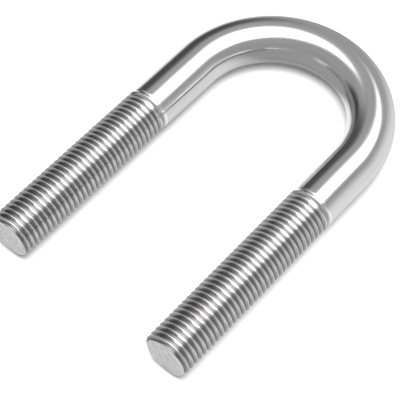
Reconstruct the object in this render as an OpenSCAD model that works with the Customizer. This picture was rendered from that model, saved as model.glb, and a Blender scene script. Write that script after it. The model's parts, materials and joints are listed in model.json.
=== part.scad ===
// Round-bend U-bolt, laid flat: one bright steel bar bent through half a turn,
// with a metric coarse thread and a turned point on the end of each leg.
// +X runs from the left leg to the right leg, the legs point along -Y, and
// Z = 0 is the surface that the bar lies on.

/* [Bar] */
// Diameter of the bar, which is also the outside diameter of its threads
bar_d = 16; // [12:1:20]

/* [Bend] */
// Clear width between the legs, where the pipe sits
inside_w = 49; // [40:1:80]
// Straight length of each leg, from the end of the bend to the tip
leg_len = 91; // [85:1:160]

/* [Thread] */
// Pitch of the thread
pitch = 2; // [1.5:0.25:2.5]
// Threaded length of the left leg, measured from its tip
left_thread_len = 67; // [40:1:75]
// Threaded length of the right leg, measured from its tip
right_thread_len = 71; // [40:1:75]
// Turns over which the thread fades out into the plain shank
fade_turns = 2; // [1:1:3]

/* [Point] */
// Length of the chamfer on each tip, along the leg
point_len = 1.2; // [0.8:0.1:2]
// How far the chamfer cuts in from the bar's surface
point_drop = 0.8; // [0.4:0.1:1.6]

/* [Hidden] */
$fn = 96;

bar_r = bar_d / 2;
// The bend's centre line
bend_r = inside_w / 2 + bar_r;
// Places the middle of the whole outline on the origin
bend_y = (leg_len - bend_r - bar_r) / 2;

// ISO 60 degree form: 17/24 of the sharp triangle's height is cut, and the
// crest keeps a flat of an eighth of the pitch
flank_tan = tan(30);
groove_depth = 17 / 24 * pitch / (2 * flank_tan);
groove_half_w = 7 / 16 * pitch;
root_half_w = groove_half_w - groove_depth * flank_tan;

// Share of the full depth that groove k has, counted from the shank: the
// die comes off the bar gradually, so the first few are shallower
function groove_share(k) = min(1, (k + 1) / (fade_turns + 1));

// Outline of one groove about its middle height z, from the shank side up
function groove_points(z, depth) = let (top = root_half_w + depth * flank_tan) [
    [bar_r, z - top],
    [bar_r - depth, z - root_half_w],
    [bar_r - depth, z + root_half_w],
    [bar_r, z + top]
];

// A leg's own axis: z = 0 where the bend ends, rising towards the tip.
// side is -1 for the left leg and 1 for the right.
module on_leg(side, from_bend) {
    translate([side * bend_r, bend_y - from_bend, bar_r])
        rotate([90, 0, 0])
            children();
}

module plain_bar(len) {
    cylinder(h = len, r = bar_r);
}

// The threaded stretch, with ring grooves at the thread's pitch and form.
// A whole number of turns ends flush with the point; what is left over is
// the plain land next to the shank.
module threaded_bar(len) {
    turns = floor(len / pitch);
    land = len - turns * pitch;
    grooves = [
        for (k = [0 : turns - 1])
            each groove_points(land + pitch * (k + 0.5), groove_depth * groove_share(k))
    ];
    rotate_extrude()
        polygon(concat([[0, 0], [bar_r, 0]], grooves, [[bar_r, len], [0, len]]));
}

module turned_point() {
    cylinder(h = point_len, r1 = bar_r, r2 = bar_r - point_drop);
}

module bend() {
    color("silver")
        translate([0, bend_y, bar_r])
            rotate_extrude(angle = 180)
                translate([bend_r, 0])
                    circle(r = bar_r);
}

module left_shank() {
    color("silver")
        on_leg(-1, 0)
            plain_bar(leg_len - left_thread_len);
}

module right_shank() {
    color("silver")
        on_leg(1, 0)
            plain_bar(leg_len - right_thread_len);
}

module left_cut_thread() {
    color("darkgray")
        on_leg(-1, leg_len - left_thread_len)
            threaded_bar(left_thread_len - point_len);
}

module right_cut_thread() {
    color("darkgray")
        on_leg(1, leg_len - right_thread_len)
            threaded_bar(right_thread_len - point_len);
}

module left_point() {
    color("gainsboro")
        on_leg(-1, leg_len - point_len)
            turned_point();
}

module right_point() {
    color("gainsboro")
        on_leg(1, leg_len - point_len)
            turned_point();
}

bend();
left_shank();
right_shank();
left_cut_thread();
right_cut_thread();
left_point();
right_point();
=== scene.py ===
# %% [markdown]
# # A round-bend U-bolt in bright steel
# One bar of drawn steel is threaded at both ends, chamfered, and bent cold round a former.
# This lesson builds the bar, its two threaded legs, the table and the studio round a frame that
# has already been sized, and it finishes every surface with procedural steel.

# %% Load the frame
import json
import math

import bmesh
import bpy
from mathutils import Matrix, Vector


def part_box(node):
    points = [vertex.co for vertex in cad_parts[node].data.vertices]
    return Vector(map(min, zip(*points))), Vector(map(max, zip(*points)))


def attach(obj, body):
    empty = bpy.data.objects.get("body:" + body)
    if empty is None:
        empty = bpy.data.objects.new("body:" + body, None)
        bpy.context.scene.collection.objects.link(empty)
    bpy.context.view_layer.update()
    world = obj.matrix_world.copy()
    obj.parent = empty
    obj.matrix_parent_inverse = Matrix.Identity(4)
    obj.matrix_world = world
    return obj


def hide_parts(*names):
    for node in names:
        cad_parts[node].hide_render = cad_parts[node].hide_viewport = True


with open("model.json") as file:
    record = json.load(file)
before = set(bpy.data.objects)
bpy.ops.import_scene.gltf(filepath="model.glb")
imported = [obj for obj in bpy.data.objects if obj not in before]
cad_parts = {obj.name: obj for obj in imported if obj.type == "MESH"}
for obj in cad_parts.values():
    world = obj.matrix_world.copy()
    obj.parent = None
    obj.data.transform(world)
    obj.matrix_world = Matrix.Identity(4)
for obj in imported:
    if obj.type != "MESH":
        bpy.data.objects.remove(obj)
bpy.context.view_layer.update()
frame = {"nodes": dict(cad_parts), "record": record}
print("frame nodes:", sorted(frame["nodes"]))

# %% [markdown]
# ## Sizes
# Everything is in metres. The driving sizes are read off the frame's own boxes and mounts, so the
# steel made here lies exactly where the frame's solids lie.

# %% Read the sizes off the frame
MM = 0.001
mounts = {m["name"]: m for m in frame["record"]["mounts"]}
bar_r = mounts["left_stud"]["dims"]["r_mm"] * MM
leg_x = mounts["stud_pair"]["dims"]["pcd_mm"] * MM / 2
bend_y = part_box("bend")[0].y
tip_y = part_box("left_point")[0].y
thread_end_y = {"left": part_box("left_cut_thread")[1].y, "right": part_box("right_cut_thread")[1].y}
side_of = {"left": -1, "right": 1}
pitch = 2 * MM
print(f"bar {2 * bar_r / MM:.1f} mm, legs {2 * leg_x / MM:.1f} mm apart, "
      f"threads end at {thread_end_y['left'] / MM:.2f} and {thread_end_y['right'] / MM:.2f} mm")

# %% [markdown]
# ## Camera
# A product shot of a small part is taken from well back with a long lens, so the two legs stay
# nearly parallel. The camera looks down at the bolt from over its tips.

# %% Place the camera
CAMERA_AZIMUTH = math.radians(40.5)
CAMERA_HEIGHT = math.radians(55.9)
CAMERA_DISTANCE = 480 * MM
CAMERA_FOCUS = Vector((4 * MM, -16 * MM, bar_r))
SENSOR_WIDTH = 36
LENS = 136.4
NEAREST_SEEN = 0.01
FARTHEST_SEEN = 20

look = Vector((
    -math.sin(CAMERA_AZIMUTH) * math.cos(CAMERA_HEIGHT),
    math.cos(CAMERA_AZIMUTH) * math.cos(CAMERA_HEIGHT),
    -math.sin(CAMERA_HEIGHT),
))
bpy.ops.object.select_all(action="DESELECT")
bpy.ops.object.camera_add(location=CAMERA_FOCUS - look * CAMERA_DISTANCE)
camera = bpy.context.object
camera.rotation_euler = look.to_track_quat("-Z", "Y").to_euler()
camera.data.sensor_width = SENSOR_WIDTH
camera.data.lens = LENS
camera.data.clip_start = NEAREST_SEEN
camera.data.clip_end = FARTHEST_SEEN
bpy.context.scene.camera = camera
print(f"camera {CAMERA_DISTANCE:.3f} m away with a {camera.data.lens:.0f} mm lens")

# %% [markdown]
# ## Shader arithmetic
# A node tree is easier to read as a formula. `Wire` holds one socket, and ordinary Python
# operators on it add the Math nodes; `make` adds any other node from its type, its settings and
# what goes into its sockets.

# %% A socket that can be used in formulas
class Wire:
    def __init__(self, tree, socket=None):
        self.tree = tree
        self.socket = socket

    def make(self, kind, settings=None, inputs=None, out=0):
        node = self.tree.nodes.new(kind)
        for name, value in (settings or {}).items():
            setattr(node, name, value)
        for name, value in (inputs or {}).items():
            if isinstance(value, Wire):
                self.tree.links.new(value.socket, node.inputs[name])
            else:
                node.inputs[name].default_value = value
        return Wire(self.tree, node.outputs[out] if node.outputs else node)

    def math(self, operation, *values):
        return self.make("ShaderNodeMath", {"operation": operation}, dict(enumerate(values)))

    def part(self, name):
        return Wire(self.tree, self.socket.node.outputs[name])

    def __add__(self, other):
        return self.math("ADD", self, other)

    def __radd__(self, other):
        return self.math("ADD", other, self)

    def __sub__(self, other):
        return self.math("SUBTRACT", self, other)

    def __rsub__(self, other):
        return self.math("SUBTRACT", other, self)

    def __mul__(self, other):
        return self.math("MULTIPLY", self, other)

    def __rmul__(self, other):
        return self.math("MULTIPLY", other, self)

    def wave(self):
        return self.math("SINE", self)

    def root(self):
        return self.math("SQRT", self)

    def size(self):
        return self.math("ABSOLUTE", self)

    def at_least(self, floor):
        return self.math("MAXIMUM", self, floor)

    def at_most(self, ceiling):
        return self.math("MINIMUM", self, ceiling)

    def ramp(self, low, high, from_value=0.0, to_value=1.0):
        return self.make("ShaderNodeMapRange", {"interpolation_type": "SMOOTHSTEP"}, {
            "Value": self, "From Min": low, "From Max": high,
            "To Min": from_value, "To Max": to_value,
        })


def grey(shade):
    return (shade, shade, shade, 1)


def new_tree(block):
    block.use_nodes = True
    block.node_tree.nodes.clear()
    return Wire(block.node_tree)


print("formula nodes ready")

# %% [markdown]
# ## Studio
# Polished steel shows nothing but its surroundings, so the studio is what is really drawn on the
# bolt. Each thing in it is a soft-edged round patch of the sky. A large softbox overhead gives the
# white band along the bar. A grey flag trims that band on the left, a black flag low down beyond
# it gives the dark stripe, and a second black flag at the side darkens the thread's flanks. A
# white card low on the right lifts the undersides. The walls are mid-grey, and the far side of the
# table glows, which lightens the rims that mirror it.

# %% Paint the studio
WALL_SHADE = 0.40
TABLE_GLOW = {"azimuth": -62, "height": -30, "inner": 10, "outer": 35, "shade": 1.2}
WHITE_CARD = {"azimuth": 42, "height": -32, "inner": 5, "outer": 62, "shade": 0.95}
SOFTBOX = {"azimuth": 10, "height": 77, "inner": 30, "outer": 46, "shade": 3.0}
GREY_FLAG = {"azimuth": -45, "height": 46, "inner": 16, "outer": 33, "shade": 0.42}
BLACK_FLAG = {"azimuth": -58, "height": 18, "inner": 5, "outer": 30, "shade": 0.08}
SIDE_FLAG = {"azimuth": -95, "height": 0, "inner": 12, "outer": 30, "shade": 0.05}


def sky_place(azimuth, height):
    """Unit vector towards a place in the sky: azimuth from +Y towards +X, height over the table."""
    turn, rise = math.radians(azimuth), math.radians(height)
    return Vector((
        math.sin(turn) * math.cos(rise), math.cos(turn) * math.cos(rise), math.sin(rise)
    ))


world = bpy.data.worlds.new("studio")
bpy.context.scene.world = world
walls = new_tree(world)
direction = walls.make("ShaderNodeTexCoord", out="Generated")


def patch(lamp):
    """1 inside the lamp's inner angle, 0 outside its outer angle."""
    facing = walls.make("ShaderNodeVectorMath", {"operation": "DOT_PRODUCT"}, {
        0: direction, 1: sky_place(lamp["azimuth"], lamp["height"]),
    }, out="Value")
    return facing.ramp(math.cos(math.radians(lamp["outer"])), math.cos(math.radians(lamp["inner"])))


def cover(shade, lamp):
    """The sky's shade with this lamp, card or flag put in front of it."""
    share = patch(lamp)
    return shade * (1 - share) + share * lamp["shade"]


sky = WALL_SHADE
for lamp in (TABLE_GLOW, WHITE_CARD, SOFTBOX, GREY_FLAG, BLACK_FLAG, SIDE_FLAG):
    sky = cover(sky, lamp)
wall_light = walls.make("ShaderNodeBackground", inputs={"Color": sky, "Strength": 1.0})
walls.make("ShaderNodeOutputWorld", inputs={"Surface": wall_light})
bpy.context.scene.view_settings.view_transform = "Standard"
print("studio painted")

# %% [markdown]
# ## Floor light
# A soft area light straight overhead fills the shadows on the card. Glossy rays pass it, so the
# steel still mirrors the painted studio alone.

# %% Hang the floor light
FLOOR_LIGHT_SIZE = 0.6
FLOOR_LIGHT_UP = 0.7
FLOOR_LIGHT_WATTS = 6.0
bpy.ops.object.light_add(type="AREA", location=(0, 0, FLOOR_LIGHT_UP))
floor_light = bpy.context.object
floor_light.name = "floor_light"
floor_light.data.size = FLOOR_LIGHT_SIZE
floor_light.data.energy = FLOOR_LIGHT_WATTS
floor_light.visible_glossy = False
print("floor light hung")

# %% [markdown]
# ## Table
# The bolt lies on a big sheet of pale matt card. The card is hidden from glossy rays: a product
# shot usually has its background lightened afterwards, so the card that is seen and the one that
# the steel mirrors are not equally bright.

# %% Lay the table
TABLE_SIZE = 4.0
TABLE_SHADE = 0.86
CARD_ROUGHNESS = 0.9
bpy.ops.object.select_all(action="DESELECT")
bpy.ops.mesh.primitive_plane_add(size=TABLE_SIZE)
table = bpy.context.object
table.name = "pale_table"
table_paint = bpy.data.materials.new("pale_card")
card = new_tree(table_paint)
card_shader = card.make("ShaderNodeBsdfPrincipled", inputs={
    "Base Color": grey(TABLE_SHADE), "Roughness": CARD_ROUGHNESS, "Specular IOR Level": 0.0,
})
card.make("ShaderNodeOutputMaterial", inputs={"Surface": card_shader})
table.data.materials.append(table_paint)
table.visible_glossy = False
print("table laid")

# %% [markdown]
# ## Steel finishes
# Three finishes come from one bar. The drawn and polished skin has faint lines running along
# the bar, round the bend as well. The cut thread is lighter on its crests, and painted shade
# darkens it into its roots. The turned end has fine rings from the lathe. All three read Object
# coordinates, and the formulas below turn those into places on the bar.

# %% Places on the bar
def place_on_bar(tree):
    """How far out and up a point is from the bar's centre line, and how far along the bar."""
    here = tree.make("ShaderNodeTexCoord", out="Object")
    split = tree.make("ShaderNodeSeparateXYZ", inputs={"Vector": here})
    x, y, z = split.part("X"), split.part("Y"), split.part("Z")
    past_bend = (y - bend_y).at_least(0.0)
    from_middle = (x * x + past_bend * past_bend).root()
    out = from_middle - leg_x
    up = z - bar_r
    along = past_bend.math("ARCTAN2", past_bend, x) * leg_x + (y - bend_y).at_most(0.0)
    return out, up, along


def lines_along_bar(tree, across, lengthwise, detail=2.0):
    """Noise drawn out along the bar: across and lengthwise are the spacings of its lines in metres."""
    out, up, along = place_on_bar(tree)
    drawn = tree.make("ShaderNodeCombineXYZ", inputs={
        "X": out * (1 / across), "Y": up * (1 / across), "Z": along * (1 / lengthwise),
    })
    return tree.make("ShaderNodeTexNoise", inputs={
        "Vector": drawn, "Scale": 1.0, "Detail": detail, "Roughness": 0.6,
    })


def from_axis(tree):
    """Distance of a point from the middle of the bar."""
    out, up, _ = place_on_bar(tree)
    return (out * out + up * up).root()


def steel(name, build):
    """A metal whose shade, roughness and bump come from build(tree)."""
    material = bpy.data.materials.new(name)
    tree = new_tree(material)
    shader = tree.make("ShaderNodeBsdfPrincipled", inputs={"Metallic": 1.0} | build(tree))
    tree.make("ShaderNodeOutputMaterial", inputs={"Surface": shader})
    return material


print("bar coordinates ready")

# %% [markdown]
# ### Drawn and polished bar
# A die leaves fine lines along the bar, and polishing leaves them faint. Fine noise, stretched
# along the bar, moves the roughness and the bump; broad noise moves the shade a little.

# %% Drawn and polished bar
BAR_SHADE = 0.72
FINE_LINE = (0.25 * MM, 18 * MM)
BROAD_LINE = (2.0 * MM, 60 * MM)
SCRATCH_HEIGHT = 0.05 * MM
NOISE_LOW, NOISE_HIGH = 0.3, 0.7


def drawn_bar(tree):
    fine = lines_along_bar(tree, *FINE_LINE)
    broad = lines_along_bar(tree, *BROAD_LINE)
    bump = tree.make("ShaderNodeBump", inputs={
        "Height": fine, "Strength": 0.10, "Distance": SCRATCH_HEIGHT,
    })
    return {
        "Base Color": broad.ramp(NOISE_LOW, NOISE_HIGH, BAR_SHADE - 0.05, BAR_SHADE + 0.04),
        "Roughness": fine.ramp(NOISE_LOW, NOISE_HIGH, 0.13, 0.20),
        "Normal": bump,
    }


bright_steel = steel("drawn_bright_steel", drawn_bar)
print(bright_steel.name)

# %% [markdown]
# ### Cut thread
# The shade is painted darker with the depth below the crest, as painted shade in the thread's
# roots, and the roughness follows the same depth. The depth is that of the ISO form: 17/24 of the
# height of a sharp 60 degree triangle.

# %% Cut thread
FLANK = math.radians(30)
ROOT_DEPTH = 17 / 24 * pitch * math.cos(FLANK)
TORN_GRAIN = 0.8 * MM


def cut_thread(tree):
    depth = (bar_r - from_axis(tree)) * (1 / ROOT_DEPTH)
    torn = tree.make("ShaderNodeTexNoise", inputs={
        "Vector": tree.make("ShaderNodeTexCoord", out="Object"),
        "Scale": 1 / TORN_GRAIN, "Detail": 3.0,
    })
    bump = tree.make("ShaderNodeBump", inputs={
        "Height": torn, "Strength": 0.10, "Distance": SCRATCH_HEIGHT,
    })
    return {
        # Painted shade: the base colour is light on the crests and darkens into the thread's roots
        "Base Color": depth.ramp(0.1, 0.9, 0.86, 0.38),
        "Roughness": depth.ramp(0.0, 1.0, 0.14, 0.24) + (torn - 0.5) * 0.08,
        "Normal": bump,
    }


thread_steel = steel("cut_thread_steel", cut_thread)
print(thread_steel.name)

# %% [markdown]
# ### Turned end
# Facing on a lathe leaves fine rings and a satin surface that scatters light broadly. The rings
# are a sine of the distance from the bar's axis. Half metallic is lighter than bare steel would be.

# %% Turned end
RING_SPACING = 0.35 * MM
FACE_GRAIN = 1.2 * MM


def turned_end(tree):
    radius = from_axis(tree)
    rings = (radius * (2 * math.pi / RING_SPACING)).wave()
    torn = tree.make("ShaderNodeTexNoise", inputs={
        "Vector": tree.make("ShaderNodeTexCoord", out="Object"),
        "Scale": 1 / FACE_GRAIN, "Detail": 3.0,
    })
    bump = tree.make("ShaderNodeBump", inputs={
        "Height": rings * 0.3 + torn, "Strength": 0.15, "Distance": SCRATCH_HEIGHT,
    })
    return {
        "Base Color": torn.ramp(NOISE_LOW, NOISE_HIGH, 0.60, 0.80),
        "Metallic": 0.5,
        "Roughness": 0.50 + (torn - 0.5) * 0.2,
        "Normal": bump,
    }


end_steel = steel("turned_end_steel", turned_end)
print(end_steel.name)

# %% [markdown]
# ## Modelling helpers
# Each piece is modelled in edit mode. A test on a vertex's place picks what the next operator
# acts on.

# %% Pick, finish and report
def clear_selection():
    if bpy.context.mode != "OBJECT":
        bpy.ops.object.mode_set(mode="OBJECT")
    bpy.ops.object.select_all(action="DESELECT")


def pick(piece, test):
    """Selects the vertices whose place passes the test, with the edges and faces between them."""
    cage = bmesh.from_edit_mesh(piece.data)
    for vertex in cage.verts:
        vertex.select = test(vertex.co)
    cage.select_flush(True)
    cage.select_flush(False)
    bmesh.update_edit_mesh(piece.data)
    return sum(vertex.select for vertex in cage.verts)


def take(piece):
    """Makes this piece the only one selected, and the active one."""
    clear_selection()
    piece.select_set(True)
    bpy.context.view_layer.objects.active = piece


def settle(piece):
    """Moves the piece's place into its mesh."""
    take(piece)
    bpy.ops.object.transform_apply(location=True, rotation=True, scale=True)


def add_modifier(piece, name, kind, **settings):
    modifier = piece.modifiers.new(name, kind)
    for setting, value in settings.items():
        setattr(modifier, setting, value)
    take(piece)
    bpy.ops.object.modifier_apply(modifier=name)


def report(piece):
    """Prints a piece's size, and stops the script if its skin has an open edge."""
    low = [round(min(v.co[i] for v in piece.data.vertices) / MM, 2) for i in range(3)]
    high = [round(max(v.co[i] for v in piece.data.vertices) / MM, 2) for i in range(3)]
    skin = bmesh.new()
    skin.from_mesh(piece.data)
    open_edges = sum(not edge.is_manifold for edge in skin.edges)
    volume = skin.calc_volume(signed=True) / MM ** 3
    skin.free()
    print(f"{piece.name}: {len(piece.data.polygons)} faces, from {low} to {high} mm, "
          f"{volume:.0f} mm3, {open_edges} open edges")
    if open_edges or volume < 0:
        raise RuntimeError(piece.name + " is not a closed skin that faces outwards")


# How close counts as on a plane or at one point, and how many sides a round has
NEAR = 0.001 * MM
AROUND = 96
print("helpers ready")

# %% [markdown]
# ## The plain bar
# The bend and both plain shanks are one polished skin, so they are made as one piece: a reflection
# that crosses from shank to bend must not break. A ring is spun through half a turn round the
# pipe's axis, which is what the bending former does, and its two ends are then drawn out into the
# shanks.

# %% Spin the bend and draw out the shanks
BEND_STEPS = 120
clear_selection()
bpy.ops.mesh.primitive_circle_add(
    vertices=AROUND, radius=bar_r, location=(-leg_x, bend_y, bar_r), rotation=(math.pi / 2, 0, 0)
)
bar = bpy.context.object
bar.name = "plain_bar"
settle(bar)
bpy.ops.object.mode_set(mode="EDIT")
bpy.ops.mesh.select_all(action="SELECT")
bpy.ops.mesh.spin(steps=BEND_STEPS, angle=math.pi, center=(0, bend_y, bar_r), axis=(0, 0, 1))
for side in ("left", "right"):
    sign = side_of[side]
    pick(bar, lambda place: abs(place.y - bend_y) < NEAR and place.x * sign > 0)
    bpy.ops.mesh.extrude_region_move(
        TRANSFORM_OT_translate={"value": (0, thread_end_y[side] - bend_y, 0)}
    )
bpy.ops.mesh.select_all(action="SELECT")
bpy.ops.mesh.fill_holes(sides=0)
bpy.ops.mesh.normals_make_consistent(inside=False)
bpy.ops.object.mode_set(mode="OBJECT")
bpy.ops.object.shade_smooth_by_angle(angle=math.radians(40))
bar.data.materials.append(bright_steel)
report(bar)

# %% [markdown]
# ## One turn of thread
# A metric thread is one small outline repeated along a helix. The outline of a single turn is
# drawn point by point: half a crest flat, a flank at 30 degrees, the rounded root, and the other
# flank back up to the next crest.

# %% Work out the outline of one turn
CREST_HALF = pitch / 16
CREST_ROUND = 0.16 * MM
ROOT_ROUND = 0.1443 * pitch
HOLD = 0.06 * MM


def turn_outline():
    """(distance along the axis, radius) from one crest's middle to the next."""
    fall, run = math.cos(FLANK), math.sin(FLANK)
    crest_start = CREST_HALF - CREST_ROUND * math.tan((math.pi / 2 - FLANK) / 2)
    down = [(0.0, bar_r), (crest_start, bar_r)]
    for turn in (20, 40, 60):
        lean = math.radians(turn)
        down.append((
            crest_start + CREST_ROUND * math.sin(lean),
            bar_r - CREST_ROUND * (1 - math.cos(lean)),
        ))
    down.append((down[-1][0] + HOLD * run, down[-1][1] - HOLD * fall))
    root_centre = bar_r - ROOT_DEPTH + ROOT_ROUND
    root = [
        (
            pitch / 2 - ROOT_ROUND * math.sin(math.radians(turn)),
            root_centre - ROOT_ROUND * math.cos(math.radians(turn)),
        )
        for turn in (60, 40, 20)
    ]
    down.append((root[0][0] - HOLD * run, root[0][1] + HOLD * fall))
    down += root
    up = [(pitch - along, radius) for along, radius in reversed(down)]
    return down + [(pitch / 2, bar_r - ROOT_DEPTH)] + up


outline = turn_outline()
print([(round(a / MM, 3), round(r / MM, 3)) for a, r in outline])

# %% [markdown]
# ## Threaded legs
# The outline is swept along the helix by a Screw modifier, and its turns are merged into one skin.
# The die leaves the bar gradually, so the grooves of the last turns next to the shank are made
# shallower by moving the points outwards. A turned blank with a chamfer then trims the tip, as the
# lathe does: what lies inside both is the finished leg.

# %% Sweep a leg's thread
STEPS_PER_TURN = 72
SPARE_TURNS = 2
# Starts the helix off the planes of the cuts, which would otherwise pass through its points
START_SHIFT = 0.013 * MM
# Bisect's own threshold is 0.1 mm, which on a part this small leaves doubled faces at the cut
ON_PLANE = 0.0001 * MM
FADE_TURNS = 2.2


def swept_thread(side):
    """The raw thread of one leg: it starts before the tip and ends past the shank."""
    length = thread_end_y[side] - tip_y
    turns = math.ceil(length / pitch) + 2 * SPARE_TURNS
    axis_place = Vector((side_of[side] * leg_x, tip_y - SPARE_TURNS * pitch - START_SHIFT, bar_r))
    clear_selection()
    bpy.ops.mesh.primitive_plane_add(size=pitch, location=axis_place)
    leg = bpy.context.object
    leg.name = side + "_threaded_leg"
    bpy.ops.object.mode_set(mode="EDIT")
    bpy.ops.mesh.select_all(action="SELECT")
    bpy.ops.mesh.merge(type="CENTER")
    bpy.ops.transform.translate(value=(outline[0][1], outline[0][0], 0))
    for (along, radius), (next_along, next_radius) in zip(outline, outline[1:]):
        bpy.ops.mesh.extrude_vertices_move(
            TRANSFORM_OT_translate={"value": (next_radius - radius, next_along - along, 0)}
        )
    bpy.ops.object.mode_set(mode="OBJECT")
    add_modifier(
        leg, "Helix", "SCREW", axis="Y", angle=2 * math.pi, screw_offset=pitch,
        iterations=turns, steps=STEPS_PER_TURN, render_steps=STEPS_PER_TURN,
    )
    settle(leg)
    return leg


def close_ends(leg, side):
    """Merges the turns and cuts both ends flat."""
    bpy.ops.object.mode_set(mode="EDIT")
    bpy.ops.mesh.select_all(action="SELECT")
    bpy.ops.mesh.remove_doubles(threshold=NEAR)
    bpy.ops.mesh.select_all(action="SELECT")
    bpy.ops.mesh.bisect(
        plane_co=(0, thread_end_y[side], 0), plane_no=(0, 1, 0), use_fill=True, clear_outer=True,
        threshold=ON_PLANE,
    )
    bpy.ops.mesh.select_all(action="SELECT")
    bpy.ops.mesh.bisect(
        plane_co=(0, tip_y - pitch / 2, 0), plane_no=(0, 1, 0), use_fill=True, clear_inner=True,
        threshold=ON_PLANE,
    )
    bpy.ops.mesh.select_all(action="SELECT")
    bpy.ops.mesh.normals_make_consistent(inside=False)
    bpy.ops.object.mode_set(mode="OBJECT")


def fade_out(leg, side):
    """Makes the last turns shallower towards the plain shank."""
    middle = Vector((side_of[side] * leg_x, 0, bar_r))
    for vertex in leg.data.vertices:
        out = Vector((vertex.co.x - middle.x, vertex.co.z - middle.z))
        turns_left = (thread_end_y[side] - vertex.co.y) / pitch
        share = max(0.0, min(1.0, turns_left / FADE_TURNS))
        keep = share * share * (3 - 2 * share)
        radius = bar_r - (bar_r - out.length) * keep
        if out.length > NEAR:
            out *= radius / out.length
            vertex.co.x, vertex.co.z = middle.x + out.x, middle.z + out.y


legs = {}
for side in side_of:
    legs[side] = swept_thread(side)
    close_ends(legs[side], side)
    fade_out(legs[side], side)
    report(legs[side])

# %% [markdown]
# ## Turned points
# The blank is a cylinder a hair larger than the bar, so that only its chamfered end cuts the
# thread. Its end face is drawn in to the chamfer's small circle, its rim is softened with a bevel,
# and a shallow dimple marks where the lathe's tool ran out at the middle.

# %% Turn the blank and trim the legs
BLANK_SPARE = 0.05 * MM
POINT_DROP = 0.8 * MM
RIM_SOFTNESS = 0.25 * MM
DIMPLE_RADIUS = 0.9 * MM
DIMPLE_DEPTH = 0.12 * MM
SHARP_FROM = math.radians(28)


point_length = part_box("left_point")[1].y - tip_y
face_radius = bar_r - POINT_DROP


def on_face(place):
    return place.y < tip_y + NEAR


def turned_blank(side):
    blank_r = bar_r + BLANK_SPARE
    back_y = thread_end_y[side] + pitch
    front_y = tip_y + point_length
    middle = Vector((side_of[side] * leg_x, 0, bar_r))
    clear_selection()
    bpy.ops.mesh.primitive_cylinder_add(
        vertices=AROUND, radius=blank_r, depth=back_y - front_y,
        location=(middle.x, (back_y + front_y) / 2, middle.z), rotation=(math.pi / 2, 0, 0),
    )
    blank = bpy.context.object
    blank.name = side + "_blank"
    settle(blank)
    bpy.ops.object.mode_set(mode="EDIT")
    pick(blank, lambda place: place.y < front_y + NEAR)
    bpy.ops.mesh.extrude_region_move(TRANSFORM_OT_translate={"value": (0, -point_length, 0)})
    shrink = face_radius / blank_r
    bpy.ops.transform.resize(
        value=(shrink, 1, shrink), center_override=(middle.x, tip_y, middle.z)
    )
    pick(blank, on_face)
    bpy.ops.mesh.bevel(offset=RIM_SOFTNESS, segments=3, affect="EDGES")
    pick(blank, on_face)
    bpy.ops.mesh.inset(thickness=face_radius - RIM_SOFTNESS - DIMPLE_RADIUS)
    bpy.ops.mesh.inset(thickness=DIMPLE_RADIUS / 3, depth=-DIMPLE_DEPTH)
    bpy.ops.object.mode_set(mode="OBJECT")
    return blank


for side, leg in legs.items():
    blank = turned_blank(side)
    report(blank)
    leg.data.materials.append(thread_steel)
    blank.data.materials.append(end_steel)
    add_modifier(
        leg, "Trim", "BOOLEAN", operation="INTERSECT", object=blank, solver="EXACT",
        material_mode="TRANSFER",
    )
    bpy.data.objects.remove(blank)
    take(leg)
    bpy.ops.object.shade_smooth_by_angle(angle=SHARP_FROM)
    report(leg)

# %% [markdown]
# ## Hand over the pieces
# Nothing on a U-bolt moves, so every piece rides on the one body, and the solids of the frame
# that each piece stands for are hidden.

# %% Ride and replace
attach(bar, "root")
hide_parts("bend", "left_shank", "right_shank")
for side, leg in legs.items():
    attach(leg, "root")
    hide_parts(side + "_cut_thread", side + "_point")
